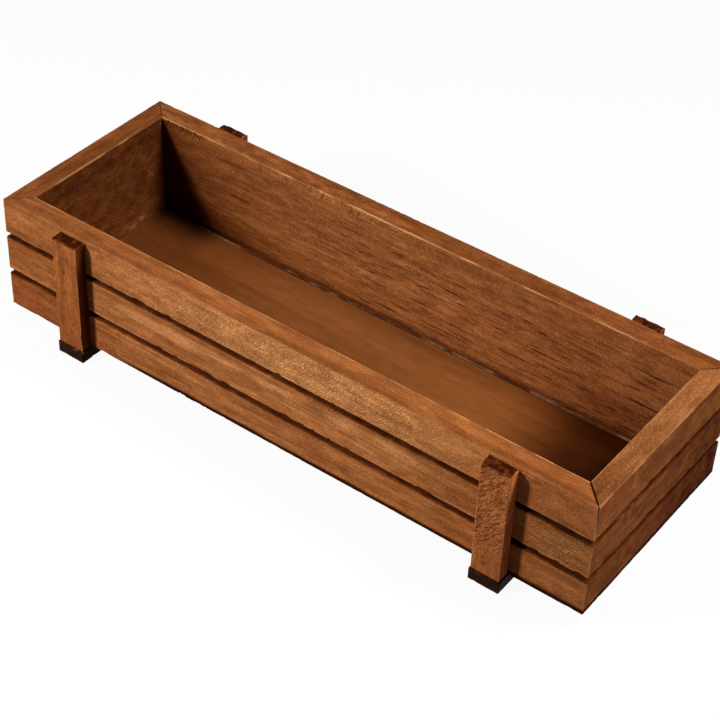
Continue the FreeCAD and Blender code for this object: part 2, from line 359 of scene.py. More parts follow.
def wood_material(name, stain, roughness=0.7, stroke=1.0, relief=1.0, shine=0.012, variety=1.0):
    """Stained wood. It reads three vectors from the mesh: grain, the place in the board in
    millimetres; look, which is tone, redness and wear; rough, which is fuzz, saw hatching
    and dark streaks. A smaller stroke makes the raised fibres longer and thicker."""
    light, dark, red, pale, worn = (colour(*parts) for parts in stain)
    s = Nodes(bpy.data.materials.new(name))
    grain = s.attribute("grain")
    tone, redness, wear = s.split(s.attribute("look"))
    fuzz, hatch, streak = s.split(s.attribute("rough"))

    def grown(along, across, *settings):
        """Noise with one scale along the grain and another across it."""
        return s.noise(s.stretched(grain, (along, across, across)), *settings)

    figure = grown(0.007, 0.1, 3.0, 0.55, 0.6)
    bands = grown(0.014, 0.3, 4.0, 0.6, 0.8)
    mottle = grown(0.045, 0.13, 5.0, 0.62, 0.3)
    fibres = grown(0.07, 1.25, 4.0, 0.6)
    grit = grown(0.7, 1.1, 3.0, 0.65)
    broad = grown(0.012, 0.03, 2.0)
    dashes = grown(0.032, 0.78, 2.0, 0.5, 0.45)
    faint = grown(0.015, 0.4, 4.0, 0.6, 0.6)
    pits = grown(0.5, 0.8, 2.0, 0.5, 0.3)
    fine = (0.2 * stroke, 1.15 * stroke, 1.15 * stroke)
    strokes = s.math("MAXIMUM", *(
        s.noise(s.stretched(s.spun(grain, turn), fine), 3.0, 0.55, 1.1) for turn in FIBRE_TURNS))
    saw = s.node("TexWave", {
        "Vector": s.spun(grain, SAW_TURN), "Scale": 0.16, "Distortion": 9.0,
        "Detail": 3.0, "Detail Scale": 0.9, "Detail Roughness": 0.7,
    }).outputs["Fac"]

    dashed = s.range(streak, 0.75, 1.0)
    banded = s.math("SUBTRACT", s.range(streak, 0.0, 0.75), s.product(dashed, 0.7))
    tint = s.mix(s.range(figure, 0.34, 0.66), dark, light)
    tint = s.mix(s.product(banded, s.range(bands, 0.52, 0.7, 0.0, 0.9)), tint, pale)
    tint = s.mix(s.product(redness, s.range(broad, 0.3, 0.6, 0.6, 1.0)), tint, red)
    tint = s.mix(s.range(fibres, 0.36, 0.6, 0.65 * variety, 0.0), tint, dark)
    tint = s.mix(s.product(fuzz, s.range(strokes, 0.45, 0.66, 0.36, 0.84)), tint, pale)

    part = 0.2 * variety
    raised = s.product(fuzz, s.range(strokes, 0.45, 0.66, -0.25, 0.2))
    sawn = s.product(hatch, s.range(saw, 0.1, 0.9, -0.22, 0.2))
    level = s.product(
        tone,
        s.range(mottle, 0.3, 0.7, 1 - part, 1 + part),
        s.range(grit, 0.3, 0.7, 1 - part, 1 + part),
        s.range(bands, 0.28, 0.5, 1 - part, 1.0),
        s.math("ADD", raised, 1.0),
        s.math("ADD", sawn, 1.0),
    )
    shade = s.node("CombineColor", {
        "Red": level, "Green": s.math("POWER", level, GREEN_POWER),
        "Blue": s.math("POWER", level, BLUE_POWER),
    }).outputs[0]
    tint = s.mix(1.0, tint, shade, "MULTIPLY")

    deep = colour(*(value * share for value, share in zip(dark, DEEP_SHARES)))
    lines = s.product(s.range(dashes, 0.62, 0.67, 0.0, 0.85), dashed)
    veins = s.product(s.range(faint, 0.56, 0.68, 0.0, 0.4), streak)
    holes = s.product(s.range(pits, 0.64, 0.74, 0.0, 0.45), fuzz)
    marks = s.math("MAXIMUM", lines, veins, holes)
    tint = s.mix(marks, tint, deep)
    tint = s.mix(s.product(wear, s.range(strokes, 0.35, 0.6, 0.4, 1.0)), tint, worn)
    s.set("Base Color", tint)
    s.set("Roughness", s.range(mottle, 0.3, 0.7, roughness - 0.08, roughness + 0.12))
    s.set("Specular IOR Level", shine)

    height = s.math(
        "ADD", s.product(fibres, 0.5), s.product(strokes, fuzz, 3.2 / stroke),
        s.product(grit, 0.35), s.product(saw, hatch, 0.6),
    )
    s.bump(s.math("SUBTRACT", height, s.product(marks, 0.8)), 1.0, 0.7 * relief)
    return s.owner


# ---- other materials
def plain_material(name, scale, change, first, second, roughness, bump, metallic=0.0, shine=0.5):
    """One fine grain, between two colours. Its scale is given along each axis; change and
    roughness are each a least and a most."""
    s = Nodes(bpy.data.materials.new(name))
    place = s.node("TexCoord").outputs["Object"]
    grains = s.noise(s.stretched(place, scale), 4.0, 0.6)
    s.set("Base Color", s.mix(s.range(grains, *change), colour(*first), colour(*second)))
    s.set("Roughness", s.range(grains, 0.3, 0.7, *roughness))
    s.set("Metallic", metallic)
    s.set("Specular IOR Level", shine)
    s.bump(grains, *bump)
    return s.owner


def sealant_material():
    """Dark, uneven sealant. It reads from the mesh how much painted glint lies on it, as pale
    patches that stand in for light reflected off the bead, and how far the floor's stain runs over it."""
    s = Nodes(bpy.data.materials.new("sealant"))
    place = s.node("TexCoord").outputs["Object"]
    painted_glint, stained, _ = s.split(s.attribute("look"))
    patches = s.noise(s.stretched(place, (34, 80, 80)), 4.0, 0.65)
    grains = s.noise(s.stretched(place, (700, 700, 700)), 3.0)
    # Painted glints: pale patches in place of reflections off the bead.
    glint_patches = s.product(s.range(patches, 0.42, 0.62), s.range(grains, 0.4, 0.6, 0.5, 1.0))
    base = s.mix(stained, colour(0.045, 0.014, 0.005), colour(0.2, 0.055, 0.013))
    s.set("Base Color", s.mix(s.product(glint_patches, painted_glint), base, colour(0.29, 0.15, 0.08)))
    s.set("Roughness", s.range(grains, 0.3, 0.7, 0.5, 0.7))
    s.set("Specular IOR Level", 0.01)
    s.bump(grains, 0.6, 0.5)
    return s.owner


def make_materials():
    steel = (1600, 1600, 1600), (0.4, 0.6)
    return {
        "stained_wood": wood_material("stained wood", BROWN_STAIN),
        "batten_wood": wood_material("batten wood", BROWN_STAIN, stroke=0.62),
        "floor_wood": wood_material(
            "floor wood", FLOOR_STAIN, 0.42, relief=0.4, shine=0.05, variety=0.35),
        "dark_wood": wood_material("dark wood", BLACK_STAIN, 0.5),
        "sealant": sealant_material(),
        "spline_wood": plain_material(
            "bare wood", (900, 900, 40), (0.3, 0.7), (0.62, 0.44, 0.25), (0.5, 0.32, 0.16),
            (0.6, 0.75), (0.5, 0.3)),
        "steel": plain_material(
            "steel", *steel, (0.05, 0.02, 0.012), (0.16, 0.08, 0.05),
            (0.5, 0.75), (0.4, 0.2), metallic=0.6),
        "stained_steel": plain_material(
            "stained steel", *steel, (0.14, 0.04, 0.012), (0.26, 0.08, 0.024),
            (0.55, 0.8), (0.4, 0.2), shine=0.03),
    }


MATERIALS = make_materials()


# ---- backdrop
BACKDROP = colour(1.0, 1.0, 1.0)
SURROUNDINGS = colour(1.0, 0.97, 0.94)
AMBIENT = 0.05  # light of the surroundings on the object
FLOOR_PAINT = colour(0.86, 0.86, 0.86)
FLOOR_GLOW = 0.93  # share of the floor's look that takes no shadow
FLOOR_BOUNCE = colour(0.22, 0.21, 0.2)
FLOOR_HALF = 6.0  # metres


def make_world():
    world = bpy.data.worlds.new("studio")
    bpy.context.scene.world = world
    s = Nodes(world)
    around = s.tree.nodes["Background"]
    s.feed(around.inputs["Color"], SURROUNDINGS)
    s.feed(around.inputs["Strength"], AMBIENT)
    white = s.node("Background", {"Color": BACKDROP, "Strength": 1.0})
    s.show("World Output", around.outputs[0], white.outputs[0])


def floor_material():
    s = Nodes(bpy.data.materials.new("studio floor"))
    s.set("Base Color", FLOOR_PAINT)
    s.set("Roughness", 0.9)
    s.set("Specular IOR Level", 0.0)
    glow = s.node("Emission", {"Color": BACKDROP, "Strength": 1.0}).outputs[0]
    seen = s.node("MixShader", {0: FLOOR_GLOW, 1: s.surface.outputs[0], 2: glow}).outputs[0]
    bounce = s.node("BsdfDiffuse", {"Color": FLOOR_BOUNCE}).outputs[0]
    s.show("Material Output", bounce, seen)
    return s.owner


def make_floor():
    mesh = bpy.data.meshes.new("studio_floor")
    corners = np.array([(-1, -1, 0), (1, -1, 0), (1, 1, 0), (-1, 1, 0)]) * FLOOR_HALF
    mesh.from_pydata(corners.tolist(), [], [(0, 1, 2, 3)])
    mesh.materials.append(floor_material())
    floor = add_object("studio_floor", mesh)


# ---- shape of the wall boards
HIDDEN, FACE, GROOVE, BOARD_RIM, INNER = range(5)


def trace(corners):
    """Points round a closed outline of right angles. Each corner is (depth, height, radius,
    kind, step); kind and step belong to the side that follows it. Returns rows of depth,
    height, the normal's two parts, kind, and how near the point is to a rounded corner."""
    rows, rounds = [], []
    for before, corner, after in zip(corners[-1:] + corners, corners, corners[1:] + corners):
        here, radius, kind, step = np.array(corner[:2]), *corner[2:]
        back, ahead = np.array(before[:2]) - here, np.array(after[:2]) - here
        length = np.hypot(*ahead)
        back, ahead = back / np.hypot(*back), ahead / length
        kind_before = before[3]
        normal_before = np.array([back[1], -back[0]])
        normal = np.array([-ahead[1], ahead[0]])
        if radius:
            centre = here + radius * (back + ahead)
            for angle in np.linspace(0, math.pi / 2, ROUNDING_POINTS):
                out = -(math.cos(angle) * ahead + math.sin(angle) * back)
                own = kind_before if angle < math.pi / 4 else kind
                rows.append([*(centre + radius * out), *out, own])
                rounds.append(rows[-1][:2])
        elif kind == HIDDEN:
            rows.append([*here, *normal_before, kind_before])
        elif kind_before == HIDDEN:
            rows.append([*here, *normal, kind])
        else:
            rows.append([*here, *((normal + normal_before) / math.sqrt(2)), kind])
        straight = length - after[2] - radius
        pieces = max(1, round(straight / step))
        for share in np.arange(1, pieces) / pieces:
            rows.append([*(here + ahead * (radius + straight * share)), *normal, kind])
    table = np.array(rows)
    far = np.hypot(*(table[:, None, :2] - np.array(rounds)[None]).transpose(2, 0, 1))
    near = np.clip(1 - far.min(1) / EDGE_REACH, 0, 1)
    return np.column_stack([table, near])


def hidden_corners(*places):
    """Sharp corners, each before a side that another piece covers."""
    return [(depth, height, 0, HIDDEN, HIDDEN_STEP) for depth, height in places]


def board_outline(level):
    base = BASES[level]
    top = base + FACE_HEIGHT
    corners = [(0, base, EDGE_RADIUS, FACE, FACE_STEP)]
    if level == TOP_LEVEL:
        corners += [
            (0, top, EDGE_RADIUS, BOARD_RIM, RIM_STEP),
            (THICKNESS, top, EDGE_RADIUS, INNER, INNER_STEP),
        ]
    else:
        shoulder = BASES[level + 1]
        tongue_top = shoulder + TONGUE_HEIGHT
        corners += [
            (0, top, EDGE_RADIUS, GROOVE, GROOVE_STEP),
            (SHADOW_DEPTH, top, 0, GROOVE, GROOVE_STEP),
            *hidden_corners(
                (SHADOW_DEPTH, shoulder), (TONGUE_NEAR, shoulder), (TONGUE_NEAR, tongue_top),
                (TONGUE_FAR, tongue_top), (TONGUE_FAR, shoulder)),
            (THICKNESS, shoulder, 0, INNER, INNER_STEP),
        ]
    if level == 0:
        ledge = THICKNESS - FLOOR_REBATE
        corners += hidden_corners((THICKNESS, FLOOR_TOP), (ledge, FLOOR_TOP))
        corners += [(ledge, base, 0, GROOVE, GROOVE_STEP)]
    else:
        near, far = TONGUE_NEAR - TONGUE_FIT, TONGUE_FAR + TONGUE_FIT
        groove_top = base + TONGUE_HEIGHT + TONGUE_END_FIT
        corners += hidden_corners(
            (THICKNESS, base), (far, base), (far, groove_top), (near, groove_top))
        corners += [(near, base, 0, GROOVE, GROOVE_STEP)]
    return trace(corners)


def ring_shares(half_run):
    """Places of the rings, as shares from -1 to 1 of the half run, closer at both ends."""
    near_end = np.array(END_RINGS)
    count = round(2 * (half_run - END_REACH) / BOARD_STEP)
    middle = np.linspace(END_REACH - half_run, half_run - END_REACH, count)
    places = np.concatenate([near_end - half_run, middle, (half_run - near_end)[::-1]])
    return places / half_run


class Board:
    """The vertices of one wall board before wear: where each one is and which side it is on.
    Along is the place along the wall, to the right as seen from outside; depth is inwards
    from the outer face; up is the share of the face's height."""

    def __init__(self, wall, level):
        self.wall, self.level = wall, level
        self.turn = WALL_TURNS[wall]
        number = list(WALL_TURNS).index(wall)
        self.tears = TEARS.get((wall, level), ())
        self.seed = 3 + number * 7 + level * 2
        self.inner_seed = 40 + number * 5
        self.half_run, self.distance = run_and_distance(self.turn)
        self.shares = ring_shares(self.half_run)[:, None]
        columns = board_outline(level).T[:, None, :] * np.ones_like(self.shares)
        self.depth, self.height, self.out_depth, self.out_height, self.kind, edge = columns
        self.along = self.shares * (self.half_run - self.depth)
        self.to_corner = (1 - np.abs(self.shares)) * (self.half_run - self.depth)
        self.up = (self.height - BASES[level]) / FACE_HEIGHT
        self.rim, self.inner = self.kind == BOARD_RIM, self.kind == INNER
        beside_face = (self.rim | (self.kind == GROOVE)) & (self.depth < 2)
        self.outer = (self.kind == FACE) | beside_face
        corner_edge = self.outer * np.clip(1 - self.to_corner / EDGE_REACH, 0, 1)
        self.edge = np.maximum(edge, corner_edge)


# ---- marks on the wall boards
TOOTH_PITCH = 3.5  # of the saw that tore the back rim
CHECK_PLACE = 188  # slit along the grain of the back wall

# Places along a wall where the upper edge of a face is torn, and how far each one reaches.
TEARS = {("front", 1): ((50, 15),), ("front", 0): ((-104, 16), (-70, 7))}

# How far the stain is rubbed off each wall's edges: outer one of the rim, upper and lower
# ones of the other faces, inner one of the rim, and the upright corner.
EDGE_WEAR = {
    "front": (0.15, 0.15, 0.5, 0.85, 0.6),
    "right": (0.5, 0.3, 0.15, 0.5, 0.45),
    "back": (0.2, 0.3, 0.15, 1.0, 0.4),
    "left": (0.3, 0.3, 0.15, 0.7, 0.4),
}
FOOT_WEAR = 0.08  # of the edges nearest the ground


def rubbed_edges(board):
    """How far the stain is rubbed off at each vertex, from 0 to 1."""
    along, depth, height = board.along, board.depth, board.height
    rim_outer, upper, lower, rim_inner, upright = EDGE_WEAR[board.wall]
    if board.level == TOP_LEVEL:
        upper = rim_outer
    if board.level == 0:
        lower = FOOT_WEAR
    if board.wall == "back":
        rim_inner *= 0.6 + 0.6 * hump(along, 60, 150)
    share = np.where(height > BASES[board.level] + FACE_HEIGHT / 2, upper, lower)
    share = np.where(depth > THICKNESS / 2, rim_inner, share)
    patches = smooth(noise(along / 15, depth / 9, height / 9, board.seed + 7), -0.4, 0.4)
    rubbed = smooth(board.edge, 0.55, 0.95) * share * (0.25 + 0.75 * patches)
    at_corner = smooth(board.to_corner, 1.3, 0.2) * (depth < 1.5)
    return np.maximum(rubbed, at_corner * upright * (0.4 + 0.6 * patches))


def torn_places(board):
    """Where the saw has torn the inner edge of the back rim."""
    at_corner = smooth(board.along, 222, 236) * smooth(board.along, 280, 272)
    ragged = np.maximum(at_corner, 0.8 * hump(board.along, 90, 75))
    return (board.wall == "back") * ragged * smooth(board.height, RIM - 12, RIM - 5)


def saw_teeth(board):
    """Slanting tears of a saw's teeth, from 0 to 1."""
    slant = board.along + 0.35 * board.height
    place = slant + 1.3 * noise(board.along / 6, board.height / 7, 0.5, 16)
    regular = smooth(np.sin(2 * math.pi * place / TOOTH_PITCH), -0.1, 0.6)
    loose = smooth(noise(slant / 2.2, board.height / 5, 0.5, 70), 0.15, 0.6)
    return np.where(board.along > 200, regular, loose)


def drying_check(board):
    """A slit along the grain of the back wall."""
    from_middle = board.along - CHECK_PLACE
    across = np.abs(board.height - 75 - from_middle * 0.02)
    slit = smooth(np.abs(from_middle), 14, 9) * smooth(across, 1.5, 0.5)
    return (board.wall == "back") * slit


def glue_spots(board):
    """Pale dribbles near the foot of the left wall."""
    first = hump(board.along, -49, 3.2) * hump(board.height, 30.5, 2.2)
    second = hump(board.along, -36.5, 4.0) * hump(board.height, 27, 1.8)
    return (board.wall == "left") * np.maximum(first, second)


def painted_back_wall_shadow(board):
    """Painted shadow on the back wall's inner face: the left wall's shadow, darkest in the left
    corner, at the far end of the wall's run, and painted shade again low down at the right."""
    x, height = -board.along, board.height
    # The painted shadow's edge slants down from the left rim, as the left wall's shadow does.
    reach = np.maximum(x + HALF_LENGTH - THICKNESS - 0.66 * (RIM - height), -12)
    from_corner = np.maximum(reach, 0)
    low = smooth(height, 60, 35)
    shade = (1 - 0.7 * np.exp(-from_corner / 78)) * (1 - 0.42 * low * np.exp(-from_corner / 110))
    shade *= 1 - 0.5 * smooth(reach, 2, -12)
    # Painted shade low down at the right end.
    shade *= 1 - 0.4 * smooth(x, 100, 225) * smooth(height, 76, 40)
    bright = 0.14 * hump(x, -10, 55) * hump(height, 80, 20)
    bright += 0.16 * hump(x, -95, 60) * hump(height, 60, 16)
    return shade * (1 + bright)


# ---- looks of the wall boards
# Looks of the outer faces, from the bottom up: tone, redness, fuzz, hatch, streak.
BOARD_LOOKS = {
    "front": ((0.92, 0.6, 0.35, 0.05, 0.4), (1.0, 0.12, 0.42, 0.05, 0.7), (1.0, 0.05, 0.55, 0.2, 0.2)),
    # The right wall's lower tones are partly its own darker colour and partly painted shade.
    "right": ((0.5, 1.0, 0.4, 0.3, 0.4), (0.7, 0.75, 0.4, 0.3, 0.4), (0.78, 0.6, 0.4, 0.3, 0.3)),
    "back": ((0.86, 0.5, 0.3, 0.05, 0.4), (0.9, 0.3, 0.3, 0.1, 0.6), (0.95, 0.15, 0.4, 0.15, 0.3)),
    "left": ((0.85, 0.6, 0.3, 0.05, 0.4), (0.9, 0.3, 0.3, 0.1, 0.5), (0.92, 0.2, 0.35, 0.15, 0.3)),
}

# Looks of each wall's rim, tone and fuzz, and of its inner face, tone, redness and streak.
RIM_LOOKS = {"front": (0.9, 0.3), "back": (0.68, 0.35), "left": (0.58, 0.35), "right": (0.8, 0.75)}
INNER_LOOKS = {
    "front": (0.7, 0.4, 0.4), "back": (0.96, 0.28, 1.0),
    "left": (0.5, 1.0, 0.12), "right": (0.6, 0.5, 0.4),
}

# Pale streaks on the front's middle board: places along it and their reach.
PALE_STREAKS = ((-115, 52), (-4, 22), (70, 12), (121, 24))

# How much the right wall's tone changes, by level: towards the front, towards the back,
# and in patches.
RIGHT_CHANGES = ((0.5, 0.24, 0.6), (0.32, 0.18, 0.4), (0.18, 0.06, 0.36))


class Looks:
    """What the wood material reads at each vertex of a board."""

    def __init__(self, board):
        shape = board.along.shape
        face = (np.full(shape, value) for value in BOARD_LOOKS[board.wall][board.level])
        self.tone, self.red, self.fuzz, self.hatch, self.streak = face
        self.wear = rubbed_edges(board)

    def put(self, where, **values):
        """Sets the named looks where the mask is true."""
        for name, value in values.items():
            setattr(self, name, np.where(where, value, getattr(self, name)))


def dress_front_top(board, looks):
    along = board.along
    looks.fuzz = 0.45 + 0.35 * hump(along, 0, 170)
    looks.tone = 0.99 + 0.52 * hump(along, 42, 150) - 0.13 * smooth(-along, 110, 240)
    looks.tone *= 1 - 0.07 * smooth(along, 200, 250)
    looks.tone *= 0.97 + 0.12 * hump(board.up, 0.6, 0.25)
    looks.red += 0.4 * smooth(along, 180, 260)
    looks.hatch = 0.1 + 0.5 * hump(along, 60, 60) + 0.2 * hump(along, -268, 25)


def dress_front_middle(board, looks):
    along, up = board.along, board.up
    middle = 0.67 + 0.04 * along / 120
    streaks = sum(hump(along, place, reach) for place, reach in PALE_STREAKS)
    broken = 0.7 + 0.3 * noise(along / 12, up * 9, 0.5, 62)
    pale = hump(up, middle, 0.14) * np.clip(streaks, 0, 1) * broken
    dull = smooth(up, middle + 0.12, middle + 0.2)
    dull *= smooth(noise(along / 40, 0.5, 0.5, 63), -0.8, -0.1)
    looks.tone = 0.95 + 0.22 * hump(along, 20, 170)
    looks.tone *= (0.99 + 0.7 * pale) * (1 - 0.2 * dull)
    looks.tone *= 1 - 0.1 * smooth(along, 180, 240)
    looks.red += 0.35 * smooth(along, 150, 200) * smooth(along, 265, 240)
    looks.red += 0.15 * smooth(-along, 190, 250)
    looks.fuzz += 0.5 * hump(along, 285, 34) + 0.3 * pale
    looks.wear += 0.24 * pale
    looks.streak *= 1 - 0.5 * pale


def dress_front_bottom(board, looks):
    along = board.along
    looks.red *= 0.25 + 1.35 * smooth(-along, 150, 240)
    looks.tone = 0.93 - 0.16 * smooth(-along, 160, 250) + 0.22 * hump(along, -30, 160)


def dress_right(board, looks):
    along = board.along
    near, far = smooth(-along, -10, 50), smooth(along, -8, 30)
    patches = 0.6 * noise(along / 24, board.up * 2.4, 0.5, 64 + board.level)
    patches = patches + noise(along / 6, board.up * 6, 0.5, 71) + 0.4 * hump(along, 0, 22)
    nearer, further, patchy = RIGHT_CHANGES[board.level]
    looks.tone *= 1 + nearer * near - further * far + patchy * patches
    if board.level == 0:
        looks.red -= 0.4 * near


def dress_rim(board, looks):
    along = board.along
    tone, fuzz = RIM_LOOKS[board.wall]
    if board.wall == "front":
        tone = tone - 0.22 * smooth(along, 100, 270) - 0.08 * smooth(-along, 100, 270)
        tone -= 0.07 * hump(along, 30, 100)
    if board.wall == "right":
        tone *= 1 - 0.3 * smooth(-along, 40, 75) + 0.1 * hump(along, 14, 20)
    if board.wall == "back":
        tone = tone + 0.1 * smooth(along, 110, 190) - 0.13 * smooth(-along, -40, 20)
        tone = tone + 0.14 * smooth(-along, 130, 200) - 0.1 * smooth(-along, 225, 255)
        flecks = noise(along / 7, board.depth / 3, 0.5, 65)
        tone *= 1 + 0.3 * smooth(along, -40, 40) * flecks
    if board.wall == "left":
        tone += 0.2 * smooth(along, 50, 85)
    tone *= 1 - 0.6 * smooth(board.to_corner, 0.7, 0.1)
    looks.put(board.rim, tone=tone, red=0.15, fuzz=fuzz, hatch=0.0, streak=0.2)


def dress_inside(board, looks):
    along, height = board.along, board.height
    tone, red, streak = INNER_LOOKS[board.wall]
    torn = torn_places(board)
    fuzz = 0.3 + 0.3 * torn
    if board.wall == "left":
        blotches = noise(along / 9, height / 6, 0.5, 18) + 0.6 * noise(along / 4, height / 3, 0.5, 19)
        low = smooth(height, 62, 34) * hump(along, -50, 32)
        tone = tone * (1 + 0.34 * blotches + 0.4 * low) * (1 - 0.2 * smooth(height, 92, 112))
        fuzz = 0.65
    else:
        # Painted shade along the foot of the inner face, where it meets the floor.
        tone *= 1 - 0.5 * smooth(height, FLOOR_TOP + 9, FLOOR_TOP + 3)
    if board.wall == "back":
        # Painted shadow of the left wall and painted shade low down at the right.
        tone *= painted_back_wall_shadow(board)
        fuzz += 0.2
        red += 0.4 * smooth(-along, 100, 200)
        streak = 0.85 + 0.15 * smooth(-along, -150, 20) * smooth(height, 112, 84)
    tone *= 1 - 0.85 * drying_check(board)
    tone = tone * (1 + 0.3 * torn) * (1 - 0.72 * torn * saw_teeth(board))
    looks.put(board.inner, tone=tone, red=red, fuzz=fuzz, hatch=0.05, streak=streak)


def dress_grooves(board, looks):
    """The shadow grooves with painted shade on their ledges, painted shade on the tops of the faces
    below them, and a painted shadow line along the foot of the outer faces.
    """
    along, seed, face = board.along, board.seed, board.kind == FACE
    for middle, reach in board.tears:
        looks.fuzz += 0.6 * hump(along, middle, reach) * smooth(board.up, 0.83, 0.97) * face
    groove = (board.kind == GROOVE) | (board.kind == HIDDEN)
    ragged = 1.1 * noise(along / 5, seed, 0.5, 20) + 0.6 * noise(along / 19, seed, 0.5, 66)
    # Painted shade, darker and redder, on the ledges inside the grooves.
    groove_shade = smooth(board.depth + 0.6 * ragged, -0.6, 0.9) * groove
    looks.tone *= 1 - (0.7 + 0.12 * noise(along / 9, seed, 0.5, 67)) * groove_shade
    looks.red += 0.9 * groove_shade
    # Painted shadow line along the foot of the outer faces, left out near the front's left end.
    foot = BASE + 4.3 + 0.7 * noise(along / 25, seed, 0.5, 68)
    painted_foot_shadow = smooth(board.height, foot + 1.2, foot - 0.6) * (board.depth < 2)
    if board.wall == "front":
        painted_foot_shadow *= 1 - 0.85 * smooth(-along, 140, 195)
    looks.tone *= 1 - 0.93 * painted_foot_shadow
    looks.wear *= 1 - painted_foot_shadow
    if board.level < TOP_LEVEL:
        # Painted shade on the top of each face just below a groove.
        shaded = face * smooth(board.up + 0.014 * ragged, 0.952, 0.98)
        looks.tone *= 1 - 0.78 * shaded
        looks.wear *= np.where(groove, 0.1, 1) * (1 - 0.8 * shaded)


FRONT_DRESSES = (dress_front_bottom, dress_front_middle, dress_front_top)


def board_looks(board):
    looks = Looks(board)
    if board.wall == "front":
        FRONT_DRESSES[board.level](board, looks)
    if board.wall == "right":
        dress_right(board, looks)
    dress_rim(board, looks)
    dress_inside(board, looks)
    dress_grooves(board, looks)
    looks.wear += 0.6 * board.inner * glue_spots(board)
    return looks


# ---- wall boards
CHECK_DEPTH = 1.6
TIGHT_GAP = 0.08  # half of a mitre's joint, low down

# Half of the open joint at the rim, at the right and the left end of each wall.
MITRE_GAPS = {"front": (0.95, 0.22), "right": (0.2, 0.95), "back": (0.18, 0.2), "left": (0.22, 0.18)}


def board_cut(board, fuzz):
    """How far the surface lies below the planed wood, in millimetres."""
    along, depth, height = board.along, board.depth, board.height
    shift = np.where(board.inner, board.inner_seed, board.seed) * 0.37
    fibres = unit_noise(along / 17 + shift, depth / 2.3, height / 2.3, 11)
    slant = along + 0.9 * (height + depth)
    fluff = unit_noise(slant / 6 + shift, (along - height) / 2.4, depth / 2.6, 12)
    chips = smooth(noise(along / 9 + shift, depth / 4, height / 4, 13), 0.55, 0.85)
    nicks = smooth(noise(along / 2.4 + shift, depth / 3, height / 3, 14), 0.5, 0.9)
    if board.level < TOP_LEVEL:
        base = BASES[board.level]
        frayed = smooth(noise(along / 6 + shift, depth / 5, 0.5, 69), 0.1, 0.8)
        chips = np.maximum(chips, 0.7 * frayed * smooth(height, base + 28, base + 32))
    for middle, reach in board.tears:
        chips = np.maximum(chips, hump(along, middle, reach) * smooth(nicks, 0.0, 0.4))
    ragged = chips * (0.8 + 0.7 * nicks) + 0.25 * nicks
    chipping = np.where(height < BASE + FACE_HEIGHT / 2, 0.45, 1.0)
    cut = 0.14 * fibres + 0.34 * fuzz * fluff + board.edge * chipping * ragged
    cut += board.inner * torn_places(board) * (0.2 + 1.3 * saw_teeth(board))
    cut += board.inner * drying_check(board) * CHECK_DEPTH
    return np.where(board.kind == HIDDEN, 0.0, cut)


def corner_rounding(board):
    """How far the outer face is worn back beside the upright corners, in millimetres."""
    radius = 0.7 + 0.5 * noise(board.height / 9, board.seed, 0.5, 15)
    inset = np.maximum(radius - board.to_corner - 0.3 * radius, 0)
    worn = radius - np.sqrt(np.maximum(radius**2 - inset**2, 0))
    return np.where(board.outer, worn, 0)


def mitre_gap(board):
    """Half of the open joint at the board's ends, in millimetres."""
    right, left = MITRE_GAPS[board.wall]
    at_rim = np.where(board.shares > 0, right, left)
    gap = TIGHT_GAP + (at_rim - TIGHT_GAP) * smooth(board.height, RIM - 34, RIM)
    return gap * smooth(np.abs(board.along), board.half_run - 80, board.half_run)


def make_board(wall, level):
    board = Board(wall, level)
    looks = board_looks(board)
    cut = board_cut(board, looks.fuzz)
    rounding = corner_rounding(board)
    inwards = -np.sign(board.shares)
    x = board.along + inwards * mitre_gap(board) + inwards * rounding * 0.5
    y = board.depth - board.out_depth * cut + rounding - board.distance
    z = board.height - board.out_height * cut
    points = turned(np.stack([x, y, z], -1), board.turn).reshape(-1, 3)
    shift = np.where(board.inner, board.inner_seed * 97.0, board.seed * 61.0)
    vectors = wood_looks(
        (board.along + shift, board.depth + shift * 0.31, board.height + shift * 0.17),
        (looks.tone, looks.red, looks.wear),
        (looks.fuzz, looks.hatch, looks.streak),
    )
    name = f"{wall}_board_{LEVELS[level]}"
    faces = tube_faces(*board.along.shape)
    add_piece(name + "_wood", [name], "stained_wood", points, faces, vectors)


# ---- blocks
ROUNDED_SHARES = (0, 0.12, 0.35, 0.65)  # places within a rounded edge
FASTENER_SHARES = (-1.3, -1, -0.7, -0.35, 0, 0.35, 0.7, 1, 1.3)


def block_places(low, high, step, radius, extra=()):
    """Places of a block's vertices along one axis, closer together at both ends."""
    ends = radius * np.array(ROUNDED_SHARES)
    count = max(1, round((high - low - 2 * radius) / step))
    middle = np.linspace(low + radius, high - radius, count + 1)
    places = np.concatenate([low + ends, middle, high - ends, np.array(extra)])
    return np.unique(np.round(places, 4))


def block_faces(counts):
    """Quads over the surface of a lattice, and which lattice points they use."""
    number = np.arange(np.prod(counts)).reshape(counts)
    quads = []
    for axis, end in product(range(3), (0, -1)):
        sheet = np.take(number, end, axis)
        quad = np.stack([sheet[:-1, :-1], sheet[1:, :-1], sheet[1:, 1:], sheet[:-1, 1:]], -1)
        quad = quad.reshape(-1, 4)
        outward = (end == -1) != (axis == 1)
        quads.append(quad if outward else quad[:, ::-1])
    used, quads = np.unique(np.concatenate(quads), return_inverse=True)
    return used, quads.reshape(-1, 4).tolist()


def block(low, high, steps, radius, extras=((), (), ())):
    """Surface of a block with rounded edges: points, outward normals, how near each point is
    to an edge, and the faces."""
    axes = [block_places(low[i], high[i], steps[i], radius, extras[i]) for i in range(3)]
    lattice = np.stack(np.meshgrid(*axes, indexing="ij"), -1).reshape(-1, 3)
    used, faces = block_faces([len(axis) for axis in axes])
    flat = lattice[used]
    core = np.clip(flat, low + radius, high - radius)
    normal = flat - core
    normal /= np.linalg.norm(normal, axis=1, keepdims=True)
    to_sides = np.sort(np.minimum(flat - low, high - flat), axis=1)
    edge = np.clip(1 - to_sides[:, 1] / EDGE_REACH, 0, 1)
    return core + radius * normal, normal, edge, faces


